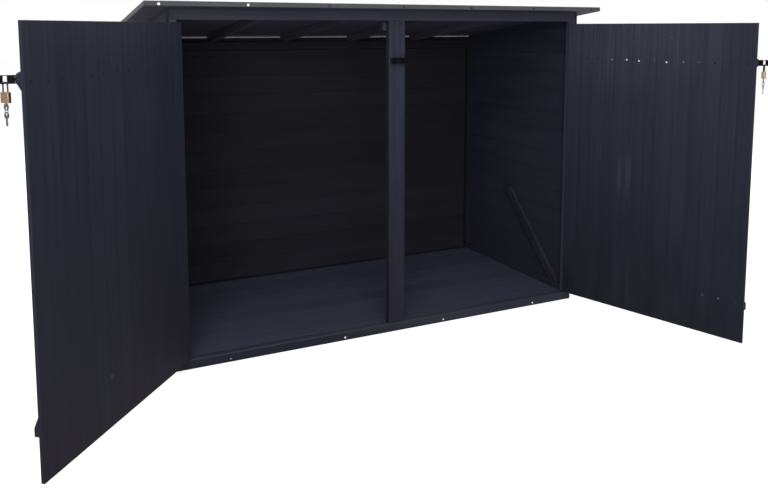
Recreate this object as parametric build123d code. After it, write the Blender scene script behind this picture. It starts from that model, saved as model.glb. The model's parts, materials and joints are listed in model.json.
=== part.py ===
from build123d import *
import math
import os

# Wooden bicycle shed with a lean-to roof and two board doors, in millimetres.
# The front looks towards -Y, +Z is up, and the origin is on the ground under the middle of the front sill.

# Body
body_width = 1780.0
body_depth = 870.0
wall_board = 10.0
post_width = 26.0
post_depth = 28.0
centre_post_width = 70.0

# Floor
sill_depth = 38.0
bearer_height = 22.0
bearer_width = 45.0
bearer_spacing = 453.0
bearer_count = 4
floor_board = 13.0

# Front frame and roof
roof_front_height = 1302.0
header_height = 38.0
roof_pitch_deg = 7.0
roof_overhang_side = 78.0
roof_overhang_front = 52.0
roof_overhang_back = 42.0
roof_board = 14.0
felt_thickness = 3.0
felt_lip = 17.0
rail_height = 38.0
rafter_width = 28.0
rafter_height = 28.0
rafter_spacing = 350.0
rafter_count = 4
back_vent = 5.0

# Cleat behind the head of the middle post
cleat_height = 31.0
cleat_depth = 22.0
cleat_reach = 12.0
cleat_drop = 9.0

# Bottom rails and diagonal braces inside the side walls
bottom_rail_height = 26.0
brace_width = 40.0
brace_thickness = 16.0
brace_foot = 40.0
brace_rise = 380.0

# Doors
door_board = 11.0
door_gap = 5.0
door_sill_gap = 8.0
door_head_gap = 10.0
left_door_open_deg = 130.0
right_door_open_deg = 106.0
ledge_height = 54.0
ledge_thickness = 14.0
ledge_setback = 50.0
ledge_taper_length = 20.0
ledge_taper_height = 25.0
ledge_nose_length = 12.0
ledge_nose_height = 5.0
upper_ledge_inset = 154.0
lower_ledge_inset = 149.0

# Butt hinges
hinge_height = 64.0
hinge_leaf_width = 24.0
hinge_leaf_thickness = 2.0
hinge_barrel_radius = 4.0
hinge_pin_radius = 1.6
hinge_standoff = 1.0
pin_clearance = 0.1
knuckle_gap = 0.4
leaf_gap = 0.6

# Hasps and the staple
hasp_rise = 8.0
hasp_height = 22.0
hasp_leaf_length = 36.0
hasp_thickness = 2.0
hasp_barrel_radius = 3.0
hasp_pin_radius = 1.3
hasp_pin_inset = 6.0
hasp_slot_distance = 26.0
hasp_slot_width = 9.0
hasp_slot_height = 18.0
hasp_tip = 18.0
hasp_rest_deg = 52.0
staple_block_width = 60.0
staple_block_height = 24.0
staple_wire_radius = 2.0
staple_projection = 12.0
staple_half_span = 5.5

# Padlocks
lock_width = 26.0
lock_height = 27.0
lock_thickness = 11.0
lock_corner = 2.5
lock_drop = 31.0
left_lock_turn_deg = 45.0
right_lock_turn_deg = 15.0
shackle_wire_radius = 2.0
shackle_half_span = 7.5
shackle_play = 0.3
wire_sides = 12

overrun = 1.0

half_width = body_width / 2
front_face = -sill_depth / 2
back_face = front_face + body_depth
floor_top = bearer_height + floor_board
frame_back = front_face + post_depth
rear_frame_back = back_face - wall_board
rear_frame_front = rear_frame_back - post_depth
inner_half = half_width - wall_board
jamb_inner = inner_half - post_width
post_half = centre_post_width / 2
roof_tan = math.tan(math.radians(roof_pitch_deg))
roof_cos = math.cos(math.radians(roof_pitch_deg))
roof_front_edge = front_face - roof_overhang_front
roof_back_edge = back_face + roof_overhang_back
roof_half_width = half_width + roof_overhang_side
door_head = roof_front_height - roof_tan * roof_overhang_front - header_height
door_bottom = floor_top + door_sill_gap
door_top = door_head - door_head_gap
upper_ledge_level = door_top - upper_ledge_inset
lower_ledge_level = door_bottom + lower_ledge_inset
door_free_edge = post_half + door_gap
door_hinge_edge = jamb_inner - door_gap
hinge_x = jamb_inner - door_gap / 2
hinge_y = front_face - hinge_barrel_radius - hinge_standoff
ledge_face = front_face - ledge_thickness
hasp_level = upper_ledge_level + hasp_rise
hasp_pin_x = door_free_edge + hasp_pin_inset
hasp_pin_y = ledge_face - hasp_barrel_radius


def roof_under(y, drop=0):
    """Height of the roof boards' underside over a depth, less a drop."""
    return roof_front_height - roof_tan * (y - roof_front_edge) - drop


def block(x_range, y_range, z_range):
    """Straight timber or plate between three pairs of limits."""
    size = [high - low for low, high in (x_range, y_range, z_range)]
    corner = Pos(x_range[0], y_range[0], z_range[0])
    return corner * Box(*size, align=(Align.MIN, Align.MIN, Align.MIN))


def side_profile(points, x_range):
    """Timber with a side outline of (y, z) points, drawn out along X."""
    outline = Plane.YZ.offset(x_range[0]) * Polygon(*points, align=None)
    return extrude(outline, amount=x_range[1] - x_range[0], dir=(1, 0, 0))


def front_profile(points, y_range):
    """Timber with a front outline of (x, z) points, drawn out along Y."""
    outline = Plane.XZ.offset(-y_range[0]) * Polygon(*points, align=None)
    return extrude(outline, amount=y_range[1] - y_range[0], dir=(0, 1, 0))


def upright(x, y, radius, z_range):
    """Round pin or knuckle that stands on a point."""
    height = z_range[1] - z_range[0]
    return Pos(x, y, z_range[0]) * Cylinder(radius, height, align=(Align.CENTER, Align.CENTER, Align.MIN))


def wire_loop(half_span, straight, wire_radius):
    """Bent wire from the ground up: two straight legs and a half round over them."""
    path = Line((-half_span, 0, 0), (-half_span, 0, straight))
    path += ThreePointArc((-half_span, 0, straight), (0, 0, straight + half_span), (half_span, 0, straight))
    path += Line((half_span, 0, straight), (half_span, 0, 0))
    return sweep(Pos(-half_span, 0, 0) * RegularPolygon(wire_radius, wire_sides), path=path)


def sloped_timber(x_range, y_range, drop, height):
    """Timber that follows the roof slope, its top a drop below the roof boards."""
    near, far = y_range
    points = [
        (near, roof_under(near, drop + height)),
        (far, roof_under(far, drop + height)),
        (far, roof_under(far, drop)),
        (near, roof_under(near, drop)),
    ]
    return side_profile(points, x_range)


def turned(piece, x, y, angle):
    """Piece turned about an upright line."""
    return Pos(x, y, 0) * Rot(0, 0, angle) * Pos(-x, -y, 0) * piece


parts = {}

# Base: front and back sills, bearers between them and the floor on top
parts["front_sill"] = block((-half_width, half_width), (front_face, front_face + sill_depth), (0, floor_top))
parts["back_sill"] = block((-half_width, half_width), (back_face - sill_depth, back_face), (0, floor_top))
floor_depth = (front_face + sill_depth, back_face - sill_depth)
bearers = []
for index in range(bearer_count):
    middle = (index - (bearer_count - 1) / 2) * bearer_spacing
    bearer_x = (middle - bearer_width / 2, middle + bearer_width / 2)
    bearers.append(block(bearer_x, floor_depth, (0, bearer_height)))
parts["floor_bearers"] = Compound(children=bearers)
parts["floor"] = block((-half_width, half_width), floor_depth, (bearer_height, floor_top))

# Posts, header and back rail, with the cleat that ties the middle post's head
rail_drop = rafter_height / roof_cos
rear_depth = (rear_frame_front, rear_frame_back)
rear_post_points = [
    (rear_frame_front, floor_top),
    (rear_frame_back, floor_top),
    (rear_frame_back, roof_under(rear_frame_back, rail_drop + rail_height)),
    (rear_frame_front, roof_under(rear_frame_front, rail_drop + rail_height)),
]
for side, sign in (("left", -1), ("right", 1)):
    post_x = sorted((sign * jamb_inner, sign * inner_half))
    parts[f"front_{side}_post"] = block(post_x, (front_face, frame_back), (floor_top, door_head))
    parts[f"back_{side}_post"] = side_profile(rear_post_points, post_x)
parts["centre_post"] = block((-post_half, post_half), (front_face, frame_back), (floor_top, door_head))
cleat_top = door_head - cleat_drop
parts["post_cleat"] = block(
    (-post_half - cleat_reach, post_half),
    (frame_back, frame_back + cleat_depth),
    (cleat_top - cleat_height, cleat_top),
)
header_points = [
    (front_face, door_head),
    (frame_back, door_head),
    (frame_back, roof_under(frame_back)),
    (front_face, roof_under(front_face)),
]
parts["front_header"] = side_profile(header_points, (-inner_half, inner_half))
parts["back_rail"] = sloped_timber((-inner_half, inner_half), rear_depth, rail_drop, rail_height)

# Side walls with their bottom rails and braces, and the back wall
wall_points = [
    (front_face, floor_top),
    (back_face, floor_top),
    (back_face, roof_under(back_face)),
    (front_face, roof_under(front_face)),
]
rail_top = floor_top + bottom_rail_height
brace_run = brace_width * math.sqrt(2)
brace_start = frame_back + brace_foot
brace_points = [
    (brace_start, rail_top),
    (brace_start + brace_run, rail_top),
    (brace_start + brace_run + brace_rise, rail_top + brace_rise),
    (brace_start + brace_rise, rail_top + brace_rise),
]
for side, sign in (("left", -1), ("right", 1)):
    wall_x = sorted((sign * inner_half, sign * half_width))
    rail_x = sorted((sign * jamb_inner, sign * inner_half))
    brace_x = sorted((sign * (inner_half - brace_thickness), sign * inner_half))
    parts[f"{side}_wall"] = side_profile(wall_points, wall_x)
    parts[f"{side}_bottom_rail"] = block(rail_x, (frame_back, rear_frame_front), (floor_top, rail_top))
    parts[f"{side}_brace"] = side_profile(brace_points, brace_x)
back_wall_top = roof_under(back_face, back_vent)
back_wall_depth = (rear_frame_back, back_face)
parts["back_wall"] = block((-inner_half, inner_half), back_wall_depth, (floor_top, back_wall_top))

# Rafters, roof boards and the felt turned down over their edges
for index in range(rafter_count):
    middle = (index - (rafter_count - 1) / 2) * rafter_spacing
    rafter_x = (middle - rafter_width / 2, middle + rafter_width / 2)
    parts[f"rafter_{index + 1}"] = sloped_timber(rafter_x, (frame_back, rear_frame_back), 0, rail_drop)
deck_rise = roof_board / roof_cos
felt_rise = felt_thickness / roof_cos
lip_rise = felt_lip / roof_cos
roof_x = (-roof_half_width, roof_half_width)
roof_y = (roof_front_edge, roof_back_edge)
parts["roof_boards"] = sloped_timber(roof_x, roof_y, -deck_rise, deck_rise)
felt_x = (-roof_half_width - felt_thickness, roof_half_width + felt_thickness)
felt_y = (roof_front_edge - felt_thickness, roof_back_edge + felt_thickness)
felt_whole = sloped_timber(felt_x, felt_y, -deck_rise - felt_rise, lip_rise)
parts["roof_felt"] = felt_whole - sloped_timber(roof_x, roof_y, -deck_rise, lip_rise)

# Block on the middle post, as thick as the doors' ledges, and the plate with both staples on it
staple_x = (-staple_block_width / 2, staple_block_width / 2)
staple_levels = (hasp_level - staple_block_height / 2, hasp_level + staple_block_height / 2)
parts["staple_block"] = block(staple_x, (ledge_face, front_face), staple_levels)
staple_plate = block(staple_x, (ledge_face - hasp_thickness, ledge_face), staple_levels)
staple_straight = staple_projection - staple_wire_radius - staple_half_span
for sign in (-1, 1):
    foot = (sign * (hasp_pin_x - hasp_slot_distance), ledge_face, hasp_level)
    staple_loop = wire_loop(staple_half_span, staple_straight, staple_wire_radius)
    staple_plate += Plane(origin=foot, x_dir=(0, 0, 1), z_dir=(0, -1, 0)) * staple_loop
parts["staples"] = staple_plate


def knuckles(x, y, levels, barrel_radius, pin_radius):
    """Barrel pieces of a hinge: outer knuckles with the pin, middle knuckle, room for each."""
    bottom, top = levels
    third = (top - bottom) / 3
    middle_levels = (bottom + third, top - third)
    room = barrel_radius + knuckle_gap
    outer_room = upright(x, y, room, (bottom, middle_levels[0])) + upright(x, y, room, (middle_levels[1], top))
    middle_room = upright(x, y, room, (middle_levels[0] - knuckle_gap, middle_levels[1] + knuckle_gap))
    outer = upright(x, y, barrel_radius, levels) - middle_room + upright(x, y, pin_radius, levels)
    middle = upright(x, y, barrel_radius, middle_levels) - upright(x, y, pin_radius + pin_clearance, levels)
    return outer, middle, outer_room, middle_room


def butt_hinge(level):
    """Frame leaf with the pin, and door leaf, of one hinge of the left door."""
    levels = (level - hinge_height / 2, level + hinge_height / 2)
    leaf_y = (front_face - hinge_leaf_thickness, front_face)
    outer, middle, outer_room, middle_room = knuckles(
        -hinge_x, hinge_y, levels, hinge_barrel_radius, hinge_pin_radius
    )
    frame_leaf = block((-jamb_inner - hinge_leaf_width, -hinge_x - leaf_gap / 2), leaf_y, levels)
    door_leaf = block((-hinge_x + leaf_gap / 2, -door_hinge_edge + hinge_leaf_width), leaf_y, levels)
    bore = upright(-hinge_x, hinge_y, hinge_pin_radius + pin_clearance, levels)
    return frame_leaf - middle_room + outer, door_leaf - outer_room - bore + middle


def ledge(level, tapered_below):
    """Batten across the left door, its free end tapered on the side of the door's middle."""
    low = level - ledge_height / 2
    high = level + ledge_height / 2
    start = -door_hinge_edge + ledge_setback
    end = -door_free_edge
    taper = end - ledge_taper_length
    nose = end - ledge_nose_length
    if tapered_below:
        free_end = [(taper, low), (end, low + ledge_taper_height), (end, high - ledge_nose_height), (nose, high)]
    else:
        free_end = [(nose, low), (end, low + ledge_nose_height), (end, high - ledge_taper_height), (taper, high)]
    return front_profile([(start, low), *free_end, (start, high)], (ledge_face, front_face))


def hasp():
    """Fixed leaf with the pin, and slotted strap lying in the door's plane, of the left hasp."""
    levels = (hasp_level - hasp_height / 2, hasp_level + hasp_height / 2)
    outer, middle, outer_room, middle_room = knuckles(
        -hasp_pin_x, hasp_pin_y, levels, hasp_barrel_radius, hasp_pin_radius
    )
    leaf_y = (ledge_face - hasp_thickness, ledge_face)
    leaf = block((-hasp_pin_x - hasp_leaf_length, -hasp_pin_x), leaf_y, levels)
    strap_y = (hasp_pin_y - hasp_thickness / 2, hasp_pin_y + hasp_thickness / 2)
    strap = block((-hasp_pin_x, -hasp_pin_x + hasp_slot_distance + hasp_tip), strap_y, levels)
    bore = upright(-hasp_pin_x, hasp_pin_y, hasp_pin_radius + pin_clearance, levels)
    slot_middle = -hasp_pin_x + hasp_slot_distance
    slot = block(
        (slot_middle - hasp_slot_width / 2, slot_middle + hasp_slot_width / 2),
        (strap_y[0] - overrun, strap_y[1] + overrun),
        (hasp_level - hasp_slot_height / 2, hasp_level + hasp_slot_height / 2),
    )
    return leaf - middle_room + outer, strap - outer_room - bore + middle - slot


def padlock(turn):
    """Body and shackle of a padlock that hangs in the left strap's slot, turned on its shackle."""
    body_top = hasp_level - lock_drop
    body = Pos(0, 0, body_top - lock_height / 2) * Box(lock_thickness, lock_width, lock_height)
    body = fillet(body.edges().filter_by(Axis.Z), lock_corner)
    arch_top = hasp_level - hasp_slot_height / 2 + shackle_play + shackle_wire_radius
    straight = arch_top - shackle_half_span - body_top
    shackle = Pos(0, 0, body_top) * Rot(0, 0, 90) * wire_loop(shackle_half_span, straight, shackle_wire_radius)
    place = Pos(-hasp_pin_x + hasp_slot_distance, hasp_pin_y, 0) * Rot(0, 0, turn)
    return place * body, place * shackle


# Left door as it stands closed, mirrored for the right door, each opened to where it rests
frame_leaves = []
door_leaves = []
for level in (lower_ledge_level, upper_ledge_level):
    frame_leaf, door_leaf = butt_hinge(level)
    frame_leaves.append(frame_leaf)
    door_leaves.append(door_leaf)
hasp_leaf, hasp_strap = hasp()
door_x = (-door_hinge_edge, -door_free_edge)
frame_fittings = {"frame_hinge_leaves": Compound(children=frame_leaves)}
door_pieces = {
    "door_boards": block(door_x, (front_face, front_face + door_board), (door_bottom, door_top)),
    "door_upper_ledge": ledge(upper_ledge_level, True),
    "door_lower_ledge": ledge(lower_ledge_level, False),
    "door_hinge_leaves": Compound(children=door_leaves),
    "hasp_leaf": hasp_leaf,
}
for side, sign, opened, lock_turn in (
    ("left", -1, left_door_open_deg, left_lock_turn_deg),
    ("right", 1, right_door_open_deg, right_lock_turn_deg),
):
    lock_body, lock_shackle = padlock(lock_turn)
    strap_pieces = {"hasp_strap": hasp_strap, "padlock_body": lock_body, "padlock_shackle": lock_shackle}
    for name, piece in {**frame_fittings, **door_pieces, **strap_pieces}.items():
        placed = piece if sign < 0 else mirror(piece, about=Plane.YZ)
        if name in strap_pieces:
            placed = turned(placed, sign * hasp_pin_x, hasp_pin_y, sign * hasp_rest_deg)
        if name not in frame_fittings:
            placed = turned(placed, sign * hinge_x, hinge_y, sign * opened)
        parts[f"{side}_{name}"] = placed

os.makedirs("parts", exist_ok=True)
for name, piece in parts.items():
    export_step(piece, f"parts/{name}.step")
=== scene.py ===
import json
import math
import random

import bpy
from mathutils import Matrix, Vector


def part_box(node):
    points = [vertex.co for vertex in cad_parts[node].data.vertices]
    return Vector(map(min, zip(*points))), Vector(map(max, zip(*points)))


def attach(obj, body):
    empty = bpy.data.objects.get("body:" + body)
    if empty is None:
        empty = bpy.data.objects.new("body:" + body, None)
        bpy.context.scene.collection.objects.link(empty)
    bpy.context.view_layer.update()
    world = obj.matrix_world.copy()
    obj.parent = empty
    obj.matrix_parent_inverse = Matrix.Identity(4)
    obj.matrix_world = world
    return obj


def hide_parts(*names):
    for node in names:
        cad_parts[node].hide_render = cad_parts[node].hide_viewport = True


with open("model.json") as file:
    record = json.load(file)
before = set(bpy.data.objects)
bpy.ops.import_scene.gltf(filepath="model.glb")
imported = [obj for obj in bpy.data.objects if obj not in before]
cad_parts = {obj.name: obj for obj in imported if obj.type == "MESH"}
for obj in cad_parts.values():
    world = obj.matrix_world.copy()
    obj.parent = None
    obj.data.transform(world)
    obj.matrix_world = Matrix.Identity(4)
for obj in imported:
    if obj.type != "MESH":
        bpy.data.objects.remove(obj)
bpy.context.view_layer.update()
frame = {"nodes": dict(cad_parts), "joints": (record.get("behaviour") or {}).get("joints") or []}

# Base timbers: two sills on edge under the front and the back, and bearers between them.
# They are planed softwood under a dark blue-grey glaze that lets the grain show.
# The sills are sawn to length, their arrises eased with a plane, and screwed through the front.
draw = random.Random(41)


class Finish:
    """A socket of one finish's nodes. Sums and products of sockets add Math nodes."""

    def __init__(self, tree, socket=None):
        self.tree = tree
        self.socket = socket

    def node(self, kind, settings=None, inputs=None, output=0):
        made = self.tree.nodes.new(kind)
        for setting, value in (settings or {}).items():
            setattr(made, setting, value)
        for place, value in (inputs or {}).items():
            if isinstance(value, Finish):
                self.tree.links.new(value.socket, made.inputs[place])
            else:
                made.inputs[place].default_value = value
        return Finish(self.tree, made.outputs[output] if made.outputs else None)

    def math(self, operation, first, second=0.0):
        return self.node("ShaderNodeMath", {"operation": operation}, {0: first, 1: second})

    def __add__(self, other):
        return self.math("ADD", self, other)

    def __radd__(self, other):
        return self.math("ADD", other, self)

    def __sub__(self, other):
        return self.math("SUBTRACT", self, other)

    def __rsub__(self, other):
        return self.math("SUBTRACT", other, self)

    def __mul__(self, other):
        return self.math("MULTIPLY", self, other)

    def __rmul__(self, other):
        return self.math("MULTIPLY", other, self)

    def ramp(self, low, high):
        """0 up to the low value and 1 from the high one, straight in between."""
        span = {"From Min": low, "From Max": high, "To Min": 0.0, "To Max": 1.0}
        return self.node("ShaderNodeMapRange", {"clamp": True}, {"Value": self, **span})

    def blend(self, first, second):
        """Colour that goes from the first to the second as this value goes from 0 to 1."""
        return self.node("ShaderNodeMix", {"data_type": "RGBA"}, {0: self, 6: first, 7: second}, 2)


def new_finish(name):
    """A material with an empty node tree, and the start of its maths."""
    material = bpy.data.materials.new(name)
    material.use_nodes = True
    material.node_tree.nodes.clear()
    return material, Finish(material.node_tree)


def surface(start, inputs, bump=None, depth=0.0):
    """Principled surface of a finish, with a bump of a depth in metres."""
    if bump is not None:
        relief = {"Strength": 1.0, "Distance": depth, "Height": bump}
        inputs = {**inputs, "Normal": start.node("ShaderNodeBump", None, relief)}
    shader = start.node("ShaderNodeBsdfPrincipled", None, inputs)
    start.node("ShaderNodeOutputMaterial", None, {"Surface": shader})


COOL = (1.0, 1.0, 1.0)
WARM = (1.12, 0.93, 0.86)
# Foot colours, darker than the glaze that they go to low down: painted shade.
PLUM = (0.0190, 0.0152, 0.0245)
DARK_PLUM = (0.0128, 0.0100, 0.0160)
DARK_BLUE = (0.0075, 0.0084, 0.0128)


def glazed_wood(
    name, along, tone=1.0, cast=COOL, foot=None, turn=0.0, marks=(), joints=None, figure=1.0
):
    """Dark glazed softwood whose grain runs along an axis, turned about the upright.
    The cast tints all of it; the foot is a darker colour that it goes to low down, and how much of it:
    painted shade.
    A mark is a pale patch: its place, its half sizes and its strength. Some are worn places and some
    painted highlights.
    Joints are those between boards, darkened where the glaze has pooled and grime sits, and with painted
    shade in the groove.
    The figure is how strongly the grain shows."""
    material, start = new_finish(name)

    def toned(colour):
        return (*(part * tint * tone for part, tint in zip(colour, cast)), 1.0)

    deep = toned((0.0136, 0.0150, 0.0236))
    pale = toned((0.0256, 0.0284, 0.0430))
    worn_and_lit = toned((0.0540, 0.0590, 0.0740))
    joint_grime_and_shade = toned((0.0030, 0.0032, 0.0044))
    coords = start.node("ShaderNodeTexCoord", None, None, "Object")
    board = start.node("ShaderNodeAttribute", {"attribute_name": "board"}, None, "Fac")
    turned = (0.0, 0.0, -math.radians(turn))
    lined = start.node("ShaderNodeMapping", None, {"Vector": coords, "Rotation": turned})
    moved = start.node("ShaderNodeVectorMath", {"operation": "ADD"}, {0: lined, 1: board * 31.0})

    def stretched(across, length):
        scale = [across] * 3
        scale["xyz".index(along)] = length
        return start.node("ShaderNodeMapping", None, {"Vector": moved, "Scale": scale})

    def cloud(across, length, detail, rough=0.55):
        place = stretched(across, length)
        values = {"Vector": place, "Scale": 1.0, "Detail": detail, "Roughness": rough}
        return start.node("ShaderNodeTexNoise", None, values)

    fine = cloud(420.0, 9.0, 4.0, 0.6)
    streak = cloud(75.0, 1.6, 4.0)
    patch = cloud(8.0, 2.4, 3.0)
    knot_place = start.node(
        "ShaderNodeVectorMath", {"operation": "ADD"}, {0: stretched(15.0, 3.6), 1: streak * 0.3}
    )
    spread = {"Vector": knot_place, "Scale": 1.0, "Randomness": 1.0}
    knot_far = start.node("ShaderNodeTexVoronoi", None, spread)
    knot = 1.0 - knot_far.ramp(0.06, 0.20)
    ring = start.math("SINE", knot_far * 150.0) * 0.5 + 0.5
    grain = fine.ramp(0.3, 0.7) * 0.28 + streak.ramp(0.25, 0.75) * 0.46 + patch.ramp(0.3, 0.7) * 0.26
    grain = grain + (board - 0.5) * 0.24 + knot * (ring - 0.7) * 0.30
    colour = grain.ramp(0.5 - 0.45 / figure, 0.5 + 0.45 / figure).blend(deep, pale)
    # Painted shade: darker and tinted towards the foot.
    if foot:
        low_down = 1.0 - start.node("ShaderNodeSeparateXYZ", None, {0: coords}, 2).ramp(0.05, 0.95)
        foot_shade_share = low_down * (0.5 + patch.ramp(0.35, 0.65) * 0.5) * foot[1]
        colour = foot_shade_share.blend(colour, toned(foot[0]))
    # Pale patches: worn places, and painted highlights at the tops of the doors and the middle post.
    for place, sizes, strength in marks:
        away = start.node("ShaderNodeVectorMath", {"operation": "SUBTRACT"}, {0: lined, 1: place})
        away = start.node("ShaderNodeVectorMath", {"operation": "DIVIDE"}, {0: away, 1: sizes})
        far = start.node("ShaderNodeVectorMath", {"operation": "LENGTH"}, {0: away}, 1)
        wear_and_highlight = (1.0 - far.ramp(0.35, 1.0)) * (0.35 + streak.ramp(0.35, 0.7) * 0.65) * strength
        colour = wear_and_highlight.blend(colour, worn_and_lit)
    # Dark joint lines: pooled glaze and grime, and painted shade in the grooves.
    if joints:
        across, first, width, count = joints
        far = start.node(
            "ShaderNodeVectorMath", {"operation": "DOT_PRODUCT"}, {0: coords, 1: across}, "Value"
        )
        place = (far - first) * (1.0 / width)
        line = 1.0 - (start.math("PINGPONG", place, 0.5) * width).ramp(0.0004, 0.0016)
        inside = place.ramp(0.4, 0.5) - place.ramp(count - 0.5, count - 0.4)
        grime_and_shade_share = (0.05 + board.ramp(0.3, 1.0) * 0.55) * (0.4 + patch.ramp(0.4, 0.6) * 0.6)
        colour = (line * inside * grime_and_shade_share).blend(colour, joint_grime_and_shade)
    rough = 0.50 + streak * 0.16 + (1.0 - patch) * 0.12
    relief = fine * 0.6 + streak * 0.4 + knot * ring * 0.25
    values = {"Base Color": colour, "Roughness": rough, "Specular IOR Level": 0.06}
    surface(start, values, relief, 0.0005)
    return material


sill_low, sill_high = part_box("front_sill")
# Pale patches on the front sill: along its top edge, partly wear and partly painted light, paler like
# the floor; and over the right part of its front face.
SILL_PALE_PATCHES = (
    ((0.0, 0.0, sill_high.z), (4.0, 0.10, 0.004), 1.6),
    ((0.6, sill_low.y, 0.5 * sill_high.z), (0.95, 0.05, 0.10), 0.9),
)
sill_wood = glazed_wood("glazed sills", "x", 0.8, (0.98, 0.98, 1.05), marks=SILL_PALE_PATCHES)
wood_y = glazed_wood("glazed wood front to back", "y", 1.0)


def alone(piece):
    """Selects one piece and nothing else."""
    if bpy.context.object and bpy.context.object.mode != "OBJECT":
        bpy.ops.object.mode_set(mode="OBJECT")
    bpy.ops.object.select_all(action="DESELECT")
    piece.select_set(True)
    bpy.context.view_layer.objects.active = piece


def taken(node, name):
    """The frame's own timber as a new closed mesh, ready to be shaped."""
    piece = bpy.data.objects.new(name, frame["nodes"][node].data.copy())
    bpy.context.collection.objects.link(piece)
    piece.data.materials.clear()
    alone(piece)
    bpy.ops.object.mode_set(mode="EDIT")
    bpy.ops.mesh.select_all(action="SELECT")
    bpy.ops.mesh.remove_doubles(threshold=1e-6)
    bpy.ops.mesh.dissolve_limited(angle_limit=math.radians(0.5))
    bpy.ops.mesh.normals_make_consistent(inside=False)
    bpy.ops.object.mode_set(mode="OBJECT")
    return piece


def ease(piece, width):
    """Takes the sharp arris off every edge of a piece."""
    alone(piece)
    bpy.ops.object.mode_set(mode="EDIT")
    bpy.ops.mesh.select_all(action="SELECT")
    bpy.ops.mesh.bevel(offset=width, segments=2, affect="EDGES", clamp_overlap=True)
    bpy.ops.object.mode_set(mode="OBJECT")


def mark_board(piece):
    """Gives a piece its own place in the grain."""
    value = draw.random()
    layer = piece.data.attributes.new("board", "FLOAT", "POINT")
    layer.data.foreach_set("value", [value] * len(piece.data.vertices))


def fitted(piece, material, body, slot, *nodes):
    """Last step of a piece: its finish, its body and the CAD nodes that it stands for."""
    piece.data.materials.clear()
    piece.data.materials.append(material)
    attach(piece, body)
    if nodes:
        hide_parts(*nodes)


def timber(node, material, arris=0.0015, body="shelter", slot="frame_wood"):
    """One planed timber of the frame, with eased arrises."""
    piece = taken(node, node + "_timber")
    ease(piece, arris)
    mark_board(piece)
    fitted(piece, material, body, slot, node)
    return piece


for sill in ("front_sill", "back_sill"):
    timber(sill, sill_wood)
timber("floor_bearers", wood_y)

SILL_SCREWS = {-0.690: 0.35, -0.229: 0.9, 0.220: 0.8, 0.680: 0.9}
SILL_SCREW_LEVEL = 0.012
SCREW_RADIUS = 0.0036
SCREW_PROUD = 0.0008
NAIL_RADIUS = 0.0019
NAIL_PROUD = 0.0004


def pick(piece, test):
    """Selects the faces of a piece that pass a test on their middle and normal."""
    alone(piece)
    bpy.ops.object.mode_set(mode="EDIT")
    bpy.ops.mesh.select_mode(type="FACE")
    bpy.ops.mesh.select_all(action="DESELECT")
    bpy.ops.object.mode_set(mode="OBJECT")
    for face in piece.data.polygons:
        face.select = test(face.center, face.normal)
    bpy.ops.object.mode_set(mode="EDIT")


def fastener_head(radius, proud, recess):
    """Mesh of a screw's or nail's head, as it stands out of the wood along +Z."""
    bpy.ops.object.select_all(action="DESELECT")
    bpy.ops.mesh.primitive_cylinder_add(vertices=12, radius=radius, depth=2 * proud, location=(0, 0, 0))
    head = bpy.context.object
    pick(head, lambda middle, normal: normal.z > 0.9)
    bpy.ops.mesh.inset(thickness=0.30 * radius, depth=0.45 * proud)
    if recess:
        bpy.ops.mesh.inset(thickness=0.25 * radius, depth=0.1 * proud)
        bpy.ops.mesh.inset(thickness=0.12 * radius, depth=-0.9 * proud)
    bpy.ops.object.mode_set(mode="OBJECT")
    mesh = head.data
    bpy.data.objects.remove(head)
    return mesh


def driven(name, head, places, body, material):
    """Copies of a head as one piece: at each point, its outward direction and how bright it is."""
    made = []
    for index, (point, outward, bright) in enumerate(places):
        copy = bpy.data.objects.new(f"{name}_{index}", head.copy())
        bpy.context.collection.objects.link(copy)
        spin = Matrix.Rotation(draw.uniform(0.0, math.pi), 4, "Z")
        stand = Vector(outward).to_track_quat("Z", "Y").to_matrix().to_4x4()
        copy.data.transform(Matrix.Translation(point) @ stand @ spin)
        layer = copy.data.attributes.new("bright", "FLOAT", "POINT")
        layer.data.foreach_set("value", [bright] * len(copy.data.vertices))
        made.append(copy)
    bpy.ops.object.select_all(action="DESELECT")
    for copy in made:
        copy.select_set(True)
    bpy.context.view_layer.objects.active = made[0]
    bpy.ops.object.join()
    made[0].name = name
    fitted(made[0], material, body, "iron_fittings")


def zinc_screw():
    """Zinc-plated steel, from bare and bright to glazed over with the wood."""
    material, start = new_finish("zinc fasteners")
    coords = start.node("ShaderNodeTexCoord", None, None, "Object")
    bright = start.node("ShaderNodeAttribute", {"attribute_name": "bright"}, None, "Fac")
    dull = start.node("ShaderNodeTexNoise", None, {"Vector": coords, "Scale": 700.0, "Detail": 3.0})
    bare = (bright + dull * 0.4 - 0.2).ramp(0.2, 0.9)
    colour = bare.blend((0.015, 0.015, 0.021, 1.0), (0.82, 0.82, 0.80, 1.0))
    values = {"Base Color": colour, "Roughness": 0.35 + dull * 0.25, "Metallic": bare * 0.7}
    surface(start, {**values, "Specular IOR Level": 0.08}, dull, 0.0001)
    return material


zinc = zinc_screw()
screw_head = fastener_head(SCREW_RADIUS, SCREW_PROUD, True)
nail_head = fastener_head(NAIL_RADIUS, NAIL_PROUD, False)
driven(
    "sill_screws",
    screw_head,
    [((x, sill_low.y, SILL_SCREW_LEVEL), (0, -1, 0), bright) for x, bright in SILL_SCREWS.items()],
    "shelter",
    zinc,
)

# Floor: boards across the width, nailed down on the bearers.
# Planed softwood boards with eased edges, laid edge to edge, their glaze painted paler than the rest as
# painted light from above.
FLOOR_BOARDS = 9
FLOOR_ARRIS = 0.0010
FLOOR_NAIL_SHARES = (0.22, 0.78)
BEARER_LINES = (-0.6795, -0.2265, 0.2265, 0.6795)


def laid(node, across, count):
    """How boards fill a frame node: the way across, the first edge, a board's width and their number."""
    reach = [v.co.dot(across) for v in frame["nodes"][node].data.vertices]
    return across, min(reach), (max(reach) - min(reach)) / count, count


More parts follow.
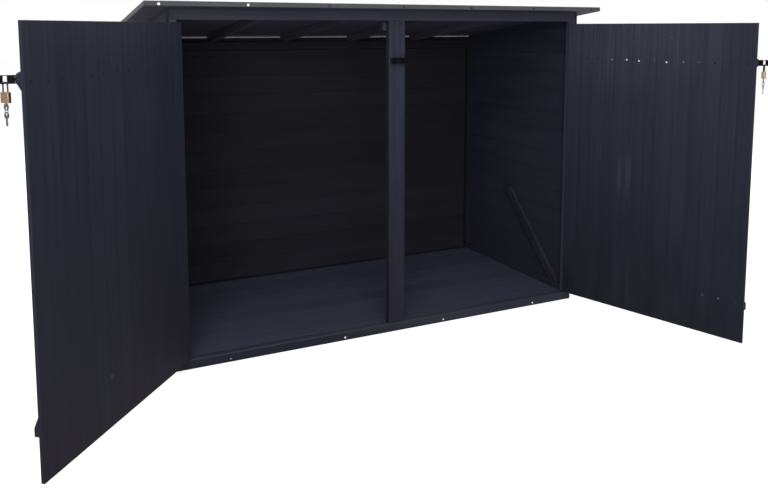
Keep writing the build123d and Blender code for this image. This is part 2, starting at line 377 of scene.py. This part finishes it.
def planks(node, name, joints, arris):
    """Boards edge to edge that fill a frame node, cut from it at their joints, as one piece.
    Each board has its own arris, so that some joints show more than others."""
    across, first_edge, width, count = joints
    whole = taken(node, name + "_whole")
    boards = []
    for index in range(count):
        board = whole.copy()
        board.data = whole.data.copy()
        board.name = f"{name}_{index}"
        bpy.context.collection.objects.link(board)
        start = first_edge + index * width
        alone(board)
        bpy.ops.object.mode_set(mode="EDIT")
        cuts = [(start, True)] * (index > 0) + [(start + width, False)] * (index < count - 1)
        for level, first in cuts:
            bpy.ops.mesh.select_all(action="SELECT")
            bpy.ops.mesh.bisect(
                plane_co=across * level, plane_no=across, use_fill=True,
                clear_inner=first, clear_outer=not first,
            )
        bpy.ops.object.mode_set(mode="OBJECT")
        ease(board, arris * draw.uniform(0.5, 1.0))
        mark_board(board)
        boards.append(board)
    bpy.data.objects.remove(whole)
    bpy.ops.object.select_all(action="DESELECT")
    for board in boards:
        board.select_set(True)
    bpy.context.view_layer.objects.active = boards[0]
    bpy.ops.object.join()
    boards[0].name = name
    return boards[0]


floor_joints = laid("floor", Vector((0, 1, 0)), FLOOR_BOARDS)
# The floor's glaze is much paler than the other wood's: painted light from above.
floor_wood = glazed_wood("floor boards glazed pale for painted light", "x", 2.35, joints=floor_joints)
floor = planks("floor", "floor_planks", floor_joints, FLOOR_ARRIS)
fitted(floor, floor_wood, "shelter", "floor_wood", "floor")
floor_low, floor_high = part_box("floor")
floor_board = (floor_high.y - floor_low.y) / FLOOR_BOARDS
driven(
    "floor_nails",
    nail_head,
    [
        (
            (x, floor_low.y + (row + share) * floor_board, floor_high.z),
            (0, 0, 1),
            draw.uniform(0.0, 0.3),
        )
        for x in BEARER_LINES
        for row in range(FLOOR_BOARDS)
        for share in FLOOR_NAIL_SHARES
    ],
    "shelter",
    zinc,
)

# Frame: corner posts, the wide middle post with its cleat, the header over the doors and the back rail.
# Planed battens and one board for the middle post, butted and screwed, with eased arrises.
# The door posts and the middle post go darker low down: painted shade. The middle post's pale top is a
# painted highlight.
jamb_wood = glazed_wood("glazed door posts", "z", 2.7, COOL, (PLUM, 0.8))
post_highlight = ((0.0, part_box("centre_post")[0].y, 1.22), (0.10, 0.10, 0.42), 0.16)
post_wood = glazed_wood(
    "glazed middle post", "z", 1.36, COOL, (DARK_PLUM, 0.9), marks=[post_highlight], figure=1.7
)
back_z = glazed_wood("glazed back posts", "z", 0.65, WARM)
back_x = glazed_wood("glazed back rail", "x", 0.65, WARM)
# The header is glazed paler than the other front timbers: painted light, against the shade under the
# roof's overhang.
header_wood = glazed_wood("glazed header", "x", 1.84, (1.08, 0.98, 0.93))
for post in ("front_left_post", "front_right_post"):
    timber(post, jamb_wood)
timber("centre_post", post_wood)
for post in ("back_left_post", "back_right_post"):
    timber(post, back_z)
timber("front_header", header_wood)
timber("post_cleat", header_wood)
timber("back_rail", back_x)

# Walls: thin boards laid level and nailed on the outside of the posts.
# Their edges are chamfered, so that each joint is a shallow V.
# The side walls are sawn to the roof's slope.
SIDE_BOARDS = 14
BACK_BOARDS = 13
WALL_ARRIS = 0.0010
WALL_NAIL_SHARES = (0.28, 0.72)
side_joints = laid("left_wall", Vector((0, 0, 1)), SIDE_BOARDS)
back_joints = laid("back_wall", Vector((0, 0, 1)), BACK_BOARDS)
inner_x = glazed_wood("glazed wall boards across", "x", 0.74, WARM, joints=back_joints)
inner_y = glazed_wood(
    "glazed wall boards front to back", "y", 1.25, COOL, (PLUM, 0.55), joints=side_joints
)
for wall, material, wall_joints in (
    ("left_wall", inner_y, side_joints),
    ("right_wall", inner_y, side_joints),
    ("back_wall", inner_x, back_joints),
):
    boards = planks(wall, wall + "_planks", wall_joints, WALL_ARRIS)
    fitted(boards, material, "shelter", "frame_wood", wall)
    low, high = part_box(wall)
    rise, count = wall_joints[2:]
    nails = []
    for row in range(count - 1):
        for post in ("left", "right") if wall == "back_wall" else ("front", "back"):
            name = f"back_{post}_post" if wall == "back_wall" else f"{post}_{wall[:-5]}_post"
            middle = sum(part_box(name), Vector()) / 2
            for share in WALL_NAIL_SHARES:
                level = low.z + (row + share) * rise
                if wall == "back_wall":
                    spot, outward = (middle.x, high.y, level), (0, 1, 0)
                elif wall == "left_wall":
                    spot, outward = (low.x, middle.y, level), (-1, 0, 0)
                else:
                    spot, outward = (high.x, middle.y, level), (1, 0, 0)
                nails.append((spot, outward, draw.uniform(0.0, 0.5)))
    driven(wall + "_nails", nail_head, nails, "shelter", zinc)

# Bottom rails and diagonal braces that stiffen the side walls from inside.
# Planed battens, sawn at the ends and screwed to the wall boards.
brace_wood = glazed_wood("glazed braces", "y", 1.06, (1.12, 0.95, 0.96))
for side in ("left", "right"):
    timber(side + "_bottom_rail", wood_y)
    timber(side + "_brace", brace_wood)

# Roof: rafters from front to back, boards across them and felt over all.
# The boards are butted; the mineral felt is turned down over the edges and held by clout nails.
RAFTERS = 4
PITCH_BOARDS = 10
ROOF_ARRIS = 0.0010
# The rafters and roof boards are glazed much paler than the other wood: painted light in the shade under
# the roof.
ceiling_y = glazed_wood("rafters glazed pale for painted light", "y", 2.7, WARM)
for index in range(1, RAFTERS + 1):
    timber(f"rafter_{index}", ceiling_y)
slope = [v.co for v in frame["nodes"]["roof_boards"].data.vertices]
front_edge = max(slope, key=lambda co: (-round(co.y, 4), co.z))
back_edge = max(slope, key=lambda co: (round(co.y, 4), co.z))
fall = Vector((0.0, back_edge.y - front_edge.y, back_edge.z - front_edge.z)).normalized()
roof_joints = laid("roof_boards", fall, PITCH_BOARDS)
roof = planks("roof_boards", "roof_planks", roof_joints, ROOF_ARRIS)
ceiling_x = glazed_wood("roof boards glazed pale for painted light", "x", 2.7, WARM, joints=roof_joints)
fitted(roof, ceiling_x, "shelter", "frame_wood", "roof_boards")


def mineral_felt():
    """Grey roofing felt with stone granules pressed into bitumen."""
    material, start = new_finish("mineral roofing felt")
    coords = start.node("ShaderNodeTexCoord", None, None, "Object")
    grain = start.node("ShaderNodeTexVoronoi", None, {"Vector": coords, "Scale": 620.0})
    tint = start.node("ShaderNodeTexNoise", None, {"Vector": coords, "Scale": 900.0, "Detail": 2.0})
    patch = start.node("ShaderNodeTexNoise", None, {"Vector": coords, "Scale": 5.0, "Detail": 4.0})
    bare = grain.ramp(0.45, 0.75)
    shade = tint.ramp(0.3, 0.7) * 0.6 + patch.ramp(0.3, 0.7) * 0.4
    colour = shade.blend((0.043, 0.046, 0.056, 1.0), (0.098, 0.104, 0.119, 1.0))
    colour = (bare * 0.6).blend(colour, (0.030, 0.032, 0.036, 1.0))
    relief = (1.0 - grain) + patch * 0.4
    surface(start, {"Base Color": colour, "Roughness": 0.82 + bare * 0.1}, relief, 0.0009)
    return material


FELT_FOLD = 0.0012
CLOUT_RADIUS = 0.0046
CLOUT_PROUD = 0.0006
CLOUT_DROP = 0.0105
FRONT_NAILS = 7
FRONT_NAIL_START = -0.922
FRONT_NAIL_STEP = 0.3073
VERGE_NAILS = 4
VERGE_NAIL_START = 0.09
VERGE_NAIL_STEP = 0.26
BARE_NAILS_END = -0.6
felt = taken("roof_felt", "felt_sheet")
ease(felt, FELT_FOLD)
fitted(felt, mineral_felt(), "shelter", "roof_felt", "roof_felt")
clout_head = fastener_head(CLOUT_RADIUS, CLOUT_PROUD, False)
felt_low, felt_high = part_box("roof_felt")
lip_level = felt_high.z - CLOUT_DROP
front_nails = [
    ((FRONT_NAIL_START + FRONT_NAIL_STEP * index, felt_low.y, lip_level), (0, -1, 0))
    for index in range(FRONT_NAILS)
]
verge_nails = []
for side in (-1, 1):
    for index in range(VERGE_NAILS):
        depth = felt_low.y + VERGE_NAIL_START + VERGE_NAIL_STEP * index
        level = lip_level + fall.z / fall.y * (depth - felt_low.y)
        verge_nails.append(((felt_high.x * side, depth, level), (side, 0, 0)))
driven(
    "felt_nails",
    clout_head,
    [
        (place, outward, 1.0 if place[0] < BARE_NAILS_END and outward[1] else 0.2)
        for place, outward in front_nails + verge_nails
    ],
    "shelter",
    zinc,
)

# Doors: thirteen upright boards each, held together by two ledges across their outside.
# Butted planed boards, screwed from the inside face through to the ledges.
DOOR_BOARDS = 13
DOOR_ARRIS = 0.0006
LEDGE_ARRIS = 0.0018
hinges = {joint["name"]: joint for joint in frame["joints"]}
# Each door's tone, and a darker foot colour low down on its boards and ledges: painted shade.
DOOR_TONE_AND_SHADE = {
    "left": (1.12, (DARK_PLUM, 1.0)),
    "right": (1.27, (DARK_BLUE, 1.0)),
}
# Pale patches on the doors: the small ones are worn marks; the broad one high on each door is a painted
# highlight.
DOOR_MARKS_AND_HIGHLIGHTS = {
    "left": (
        ((-0.360, -0.008, 0.197), (0.014, 0.010), 0.7),
        ((-0.500, -0.008, 1.240), (0.500, 0.120), 0.18),
    ),
    "right": (
        ((0.578, -0.008, 0.617), (0.015, 0.112), 0.50),
        ((0.541, -0.008, 0.630), (0.014, 0.120), 0.50),
        ((0.369, -0.008, 1.194), (0.006, 0.006), 0.9),
        ((0.640, -0.008, 1.190), (0.560, 0.260), 0.30),
    ),
}
BARE_SCREWS = {
    ("right", "upper", 3): 0.25, ("right", "upper", 4): 0.30, ("right", "upper", 5): 1.0,
    ("right", "upper", 6): 0.25, ("right", "upper", 7): 1.0, ("right", "upper", 8): 1.0,
    ("right", "upper", 9): 0.35, ("right", "lower", 0): 0.20, ("right", "lower", 1): 0.28,
    ("right", "lower", 2): 0.26, ("right", "lower", 12): 0.24,
}


def swing(side):
    """Turn about the upright from a door's closed place to where it rests, and its hinge line."""
    joint = hinges[side + "_door_swing"]
    return -joint["range_deg"][0] * joint["axis"][2], Vector(joint["pos_m"])


def opened(side):
    """Matrix from a door's closed place to where it rests."""
    turn, hinge = swing(side)
    spin = Matrix.Rotation(math.radians(turn), 4, "Z")
    return Matrix.Translation(hinge) @ spin @ Matrix.Translation(-hinge)


def closed_box(node, side):
    """Corners of a door's node as it stands when the door is shut."""
    back = opened(side).inverted()
    points = [back @ v.co for v in frame["nodes"][node].data.vertices]
    return [Vector([end(p[axis] for p in points) for axis in range(3)]) for end in (min, max)]


for side in ("left", "right"):
    turn = swing(side)[0]
    place = opened(side)
    across = place.to_3x3() @ Vector((1, 0, 0))
    tone, foot = DOOR_TONE_AND_SHADE[side]
    marks_and_highlights = [
        (place @ Vector(spot), (wide, wide, tall), much)
        for spot, (wide, tall), much in DOOR_MARKS_AND_HIGHLIGHTS[side]
    ]
    door_joints = laid(side + "_door_boards", across, DOOR_BOARDS)
    door_wood = glazed_wood(
        f"glazed {side} door boards", "z", tone, COOL, foot, marks=marks_and_highlights, joints=door_joints
    )
    boards = planks(side + "_door_boards", side + "_door_planks", door_joints, DOOR_ARRIS)
    fitted(boards, door_wood, side + "_door", "door_wood", side + "_door_boards")
    ledge_wood = glazed_wood(f"glazed {side} ledges", "x", tone, COOL, foot, turn)
    for ledge in ("upper", "lower"):
        timber(f"{side}_door_{ledge}_ledge", ledge_wood, LEDGE_ARRIS, side + "_door", "door_wood")
    low, high = closed_box(side + "_door_boards", side)
    board_width = (high.x - low.x) / DOOR_BOARDS
    inward = place.to_3x3() @ Vector((0, 1, 0))
    screws = []
    for ledge in ("upper", "lower"):
        ledge_low, ledge_high = closed_box(f"{side}_door_{ledge}_ledge", side)
        for index in range(DOOR_BOARDS):
            x = low.x + (index + 0.5) * board_width + draw.uniform(-0.006, 0.006)
            z = (ledge_low.z + ledge_high.z) / 2 + draw.uniform(0.0, 0.010)
            if ledge_low.x < x < ledge_high.x:
                bright = BARE_SCREWS.get((side, ledge, index), draw.uniform(0.0, 0.12))
                screws.append((place @ Vector((x, high.y, z)), inward, bright))
    driven(side + "_door_screws", screw_head, screws, side + "_door", zinc)

# Block on the middle post, and the iron on it: a plate with two staples for the hasps.
# The block is a planed offcut; the iron is stamped, bent and painted black.
timber("staple_block", glazed_wood("glazed block", "x", 1.25))


def black_iron():
    """Black paint on stamped iron, thin and worn on the raised places."""
    material, start = new_finish("black painted iron")
    coords = start.node("ShaderNodeTexCoord", None, None, "Object")
    orange = start.node("ShaderNodeTexNoise", None, {"Vector": coords, "Scale": 900.0, "Detail": 3.0})
    wear = start.node("ShaderNodeTexNoise", None, {"Vector": coords, "Scale": 240.0, "Detail": 5.0})
    bare = wear.ramp(0.62, 0.72)
    colour = (bare * 0.5).blend((0.0032, 0.0030, 0.0038, 1.0), (0.0140, 0.0140, 0.0170, 1.0))
    values = {"Base Color": colour, "Roughness": 0.42 + orange * 0.2, "Metallic": bare * 0.3}
    surface(start, {**values, "Specular IOR Level": 0.04}, orange, 0.0002)
    return material


iron = black_iron()
for name in (
    "staples", "left_hasp_leaf", "right_hasp_leaf", "left_hasp_strap", "right_hasp_strap",
    "left_frame_hinge_leaves", "right_frame_hinge_leaves",
    "left_door_hinge_leaves", "right_door_hinge_leaves",
):
    frame["nodes"][name].data.materials.clear()
    frame["nodes"][name].data.materials.append(iron)

# Screws that hold the butt hinges and the hasps.
# Small countersunk heads, painted black with the iron.
# There are two in each hinge leaf and four in each hasp leaf.
LEAF = 0.002
HINGE_SCREW_RISE = 0.020
HINGE_SCREW_OFFSET = 0.0155
HASP_SCREW_RISE = 0.0055
HASP_SCREW_INSETS = (0.008, 0.024)
SMALL_RADIUS = 0.0028
SMALL_PROUD = 0.0005
small_head = fastener_head(SMALL_RADIUS, SMALL_PROUD, True)
black_screws = {"shelter": [], "left_door": [], "right_door": []}
for side, sign in (("left", -1), ("right", 1)):
    place = opened(side)
    outward = place.to_3x3() @ Vector((0, -1, 0))
    low, high = closed_box(side + "_door_boards", side)
    hinge_line = swing(side)[1].x
    for ledge in ("upper", "lower"):
        ledge_low, ledge_high = closed_box(f"{side}_door_{ledge}_ledge", side)
        middle = (ledge_low.z + ledge_high.z) / 2
        for level in (middle - HINGE_SCREW_RISE, middle + HINGE_SCREW_RISE):
            on_post = (hinge_line + sign * HINGE_SCREW_OFFSET, low.y - LEAF, level)
            on_door = (hinge_line - sign * HINGE_SCREW_OFFSET, low.y - LEAF, level)
            black_screws["shelter"].append((on_post, (0, -1, 0), 0.0))
            black_screws[side + "_door"].append((place @ Vector(on_door), outward, 0.0))
    leaf_low, leaf_high = closed_box(side + "_hasp_leaf", side)
    leaf_face = ledge_low.y - LEAF
    middle = (leaf_low.z + leaf_high.z) / 2
    far_end = leaf_low.x if side == "left" else leaf_high.x
    for level in (middle - HASP_SCREW_RISE, middle + HASP_SCREW_RISE):
        for inset in HASP_SCREW_INSETS:
            on_ledge = (far_end - sign * inset, leaf_face, level)
            black_screws[side + "_door"].append((place @ Vector(on_ledge), outward, 0.0))
for body, places in black_screws.items():
    driven(body + "_black_screws", small_head, places, body, iron)

# Padlocks that hang in the hasps: brass bodies with bent steel shackles.
# The case is a sawn and milled length of brass bar with eased rims, and the key plug turns in its foot.
RIM = 0.0009
PLUG_RADIUS = 0.0042
PLUG_DEPTH = 0.0016
PLUG_RIM = 0.0006
PLUG_PROUD = 0.0003


def plain_metal(name, colour, rough):
    """Bare metal with fine draw marks and a little tarnish."""
    material, start = new_finish(name)
    coords = start.node("ShaderNodeTexCoord", None, None, "Object")
    drawn = start.node("ShaderNodeMapping", None, {"Vector": coords, "Scale": (1500.0, 1500.0, 90.0)})
    lines = start.node("ShaderNodeTexNoise", None, {"Vector": drawn, "Scale": 1.0, "Detail": 2.0})
    mottle = start.node("ShaderNodeTexNoise", None, {"Vector": coords, "Scale": 260.0, "Detail": 4.0})
    dark = tuple(0.62 * part for part in colour)
    shade = (mottle * 0.6 + lines * 0.4).ramp(0.35, 0.65).blend((*dark, 1.0), (*colour, 1.0))
    values = {"Base Color": shade, "Roughness": rough + mottle * 0.15, "Metallic": 1.0}
    surface(start, values, lines, 0.0001)
    return material


brass = plain_metal("padlock brass", (0.36, 0.235, 0.15), 0.28)
steel = plain_metal("shackle steel", (0.050, 0.044, 0.044), 0.25)
nickel = plain_metal("nickel keys", (0.15, 0.15, 0.145), 0.25)
lock_frames = {}
for side in ("left", "right"):
    case = taken(side + "_padlock_body", side + "_padlock_case")
    wide_face = max(case.data.polygons, key=lambda face: face.area)
    facing = wide_face.normal.copy()
    low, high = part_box(side + "_padlock_body")
    middle = (low + high) / 2
    lock_frames[side] = Matrix.Translation((middle.x, middle.y, low.z)) @ Matrix(
        (facing, Vector((0, 0, 1)).cross(facing), Vector((0, 0, 1)))
    ).transposed().to_4x4()
    pick(case, lambda spot, normal: abs(normal.z) > 0.9)
    bpy.ops.mesh.bevel(offset=RIM, segments=2, affect="EDGES")
    bpy.ops.object.mode_set(mode="OBJECT")
    fitted(case, brass, side + "_hasp", "padlock_brass", side + "_padlock_body")
    bpy.ops.object.select_all(action="DESELECT")
    bpy.ops.mesh.primitive_cylinder_add(
        vertices=20, radius=PLUG_RADIUS, depth=PLUG_DEPTH, location=(0, 0, 0)
    )
    plug = bpy.context.object
    plug.name = side + "_key_plug"
    pick(plug, lambda spot, normal: normal.z < -0.9)
    bpy.ops.mesh.inset(thickness=PLUG_RIM, depth=PLUG_PROUD)
    bpy.ops.object.mode_set(mode="OBJECT")
    plug.data.transform(lock_frames[side])
    fitted(plug, brass, side + "_hasp", "padlock_brass")
    shackle = frame["nodes"][side + "_padlock_shackle"]
    shackle.data.materials.clear()
    shackle.data.materials.append(steel)

# Keys: one left in each padlock, and a spare that hangs from it on a split ring.
# They are stamped from nickel-plated sheet, with an oval bow pierced for the ring,
# and the ring is two turns of steel wire.
KEY_SHEET = 0.0018
BOW_WIDTH = 0.0075
BOW_HEIGHT = 0.0090
BOW_RIM = 0.0045
HOLE_SHIFT = 0.0035
KEY_GAP = 0.001
LINK_GAP = 0.003
BLADE_WIDTH = 0.0033
BLADE_LENGTH = 0.019
BLADE_ARRIS = 0.0004
SHANK_LENGTH = 0.004
RING_RADIUS = 0.0048
RING_WIRE = 0.0006


def key(name, bow_level, hole_shift, blade_down, blade_length, lock_frame):
    """A key in the lock's own frame: its bow at a level, and its blade up or down from it."""
    bpy.ops.object.select_all(action="DESELECT")
    bpy.ops.mesh.primitive_cylinder_add(vertices=24, radius=1.0, depth=KEY_SHEET, location=(0, 0, 0))
    bow = bpy.context.object
    bow.name = name
    bpy.ops.object.mode_set(mode="EDIT")
    bpy.ops.mesh.select_all(action="SELECT")
    bpy.ops.transform.resize(value=(BOW_HEIGHT, BOW_WIDTH, 1.0))
    pick(bow, lambda spot, normal: abs(normal.z) > 0.9)
    bpy.ops.mesh.inset(thickness=BOW_RIM)
    bpy.ops.transform.translate(value=(hole_shift, 0.0, 0.0))
    bpy.ops.mesh.bridge_edge_loops()
    bpy.ops.object.mode_set(mode="OBJECT")
    bpy.ops.object.select_all(action="DESELECT")
    bpy.ops.mesh.primitive_cube_add(size=1.0, location=(0, 0, 0))
    bpy.ops.object.mode_set(mode="EDIT")
    bpy.ops.mesh.select_all(action="SELECT")
    bpy.ops.transform.resize(value=(blade_length, 2 * BLADE_WIDTH, 0.7 * KEY_SHEET))
    reach = BOW_HEIGHT + blade_length / 2 - KEY_GAP
    bpy.ops.transform.translate(value=(-reach if blade_down else reach, 0.0, 0.0))
    bpy.ops.mesh.bevel(offset=BLADE_ARRIS, segments=1, affect="EDGES")
    bpy.ops.object.mode_set(mode="OBJECT")
    bow.select_set(True)
    bpy.context.view_layer.objects.active = bow
    bpy.ops.object.join()
    stood = Matrix(((0, 0, -1, 0), (0, 1, 0, 0), (1, 0, 0, bow_level), (0, 0, 0, 1)))
    bow.data.transform(lock_frame @ stood)
    bow.data.update()
    return bow


for side in ("left", "right"):
    first_level = -BOW_HEIGHT - KEY_GAP
    first = key(side + "_key", first_level, -HOLE_SHIFT, False, SHANK_LENGTH, lock_frames[side])
    fitted(first, nickel, side + "_hasp", "shackle_steel")
    second_level = first_level - 2 * BOW_HEIGHT - LINK_GAP
    second = key(side + "_spare_key", second_level, HOLE_SHIFT, True, BLADE_LENGTH, lock_frames[side])
    fitted(second, nickel, side + "_hasp", "shackle_steel")
    bpy.ops.object.select_all(action="DESELECT")
    bpy.ops.mesh.primitive_torus_add(
        major_radius=RING_RADIUS, minor_radius=RING_WIRE, major_segments=28, minor_segments=8,
        location=(0, 0, 0), rotation=(math.radians(90), 0, math.radians(90)),
    )
    ring = bpy.context.object
    ring.name = side + "_key_ring"
    bpy.ops.object.transform_apply(location=True, rotation=True, scale=True)
    bpy.ops.object.mode_set(mode="EDIT")
    bpy.ops.mesh.select_all(action="SELECT")
    bpy.ops.transform.translate(value=(-RING_WIRE, 0.0, 0.0))
    bpy.ops.mesh.duplicate()
    bpy.ops.transform.translate(value=(2 * RING_WIRE, 0.0, 0.0))
    bpy.ops.object.mode_set(mode="OBJECT")
    ring.data.transform(
        lock_frames[side]
        @ Matrix.Translation((0, 0, (first_level + second_level) / 2))
        @ Matrix.Rotation(math.radians(90), 4, "Z")
    )
    fitted(ring, nickel, side + "_hasp", "shackle_steel")

# Studio: a pale floor without an edge in view, soft lamps and a white surround.
FLOOR_SIZE = 60.0
bpy.ops.object.select_all(action="DESELECT")
bpy.ops.mesh.primitive_plane_add(size=FLOOR_SIZE, location=(0.0, 0.0, 0.0))
ground = bpy.context.object
ground.name = "studio_floor"
floor_finish, start = new_finish("pale studio floor")


def looked_at(start):
    """1 for what the eye sees straight, in a mirror or through glass, and 0 for the light it gives."""
    rays = ("Is Camera Ray", "Is Glossy Ray", "Is Transmission Ray")
    camera_ray, glossy_ray, glass_ray = (
        start.node("ShaderNodeLightPath", None, None, ray) for ray in rays
    )
    return (camera_ray + glossy_ray + glass_ray).ramp(0.0, 1.0)


pale = start.node("ShaderNodeBsdfDiffuse", None, {"Color": (0.52, 0.52, 0.52, 1.0)})
glow = {"Color": (1.0, 1.0, 1.0, 1.0), "Strength": looked_at(start) * 0.77}
lift = start.node("ShaderNodeEmission", None, glow)
lifted = start.node("ShaderNodeAddShader", None, {0: pale, 1: lift})
start.node("ShaderNodeOutputMaterial", None, {"Surface": lifted})
ground.data.materials.append(floor_finish)

world = bpy.data.worlds.new("white surround")
bpy.context.scene.world = world
world.use_nodes = True
world.node_tree.nodes.clear()
start = Finish(world.node_tree)
strength = looked_at(start) * 0.58 + 0.42
glow = {"Color": (1.0, 1.0, 1.0, 1.0), "Strength": strength}
surround = start.node("ShaderNodeBackground", None, glow)
start.node("ShaderNodeOutputWorld", None, {"Surface": surround})


def soft_lamp(name, place, target, size, power):
    """Large soft box that looks at a target."""
    lamp = bpy.data.lights.new(name, "AREA")
    lamp.shape = "SQUARE"
    lamp.size = size
    lamp.energy = power
    holder = bpy.data.objects.new(name, lamp)
    bpy.context.collection.objects.link(holder)
    holder.location = place
    holder.rotation_mode = "QUATERNION"
    holder.rotation_quaternion = (Vector(target) - Vector(place)).to_track_quat("-Z", "Y")


soft_lamp("front key", (-1.6, -4.0, 5.4), (0.0, 0.0, 0.4), 3.0, 135.0)
soft_lamp("front fill", (-3.2, -4.0, 2.0), (0.6, 0.2, 0.8), 2.5, 46.0)
soft_lamp("low front", (-2.4, -5.0, 1.2), (0.2, 0.4, 0.9), 2.6, 95.0)
soft_lamp("top", (0.0, 0.5, 5.5), (0.0, 0.4, 1.2), 4.0, 60.0)
soft_lamp("rear left", (-3.4, 4.4, 3.4), (-0.2, 0.4, 0.6), 2.6, 120.0)
soft_lamp("rear right", (3.6, 4.0, 3.0), (0.2, 0.4, 0.6), 2.6, 120.0)

lens = bpy.data.cameras.new("camera")
lens.sensor_fit = "HORIZONTAL"
lens.sensor_width = 36.0
lens.lens = 37.276
lens.shift_y = -128 / 768
camera = bpy.data.objects.new("camera", lens)
bpy.context.collection.objects.link(camera)
camera.location = (-1.4346, -2.8039, 1.2263)
camera.rotation_euler = (math.radians(90 - 6.406), 0.0, math.radians(-26.308))
bpy.context.scene.camera = camera
bpy.context.scene.view_settings.view_transform = "Standard"
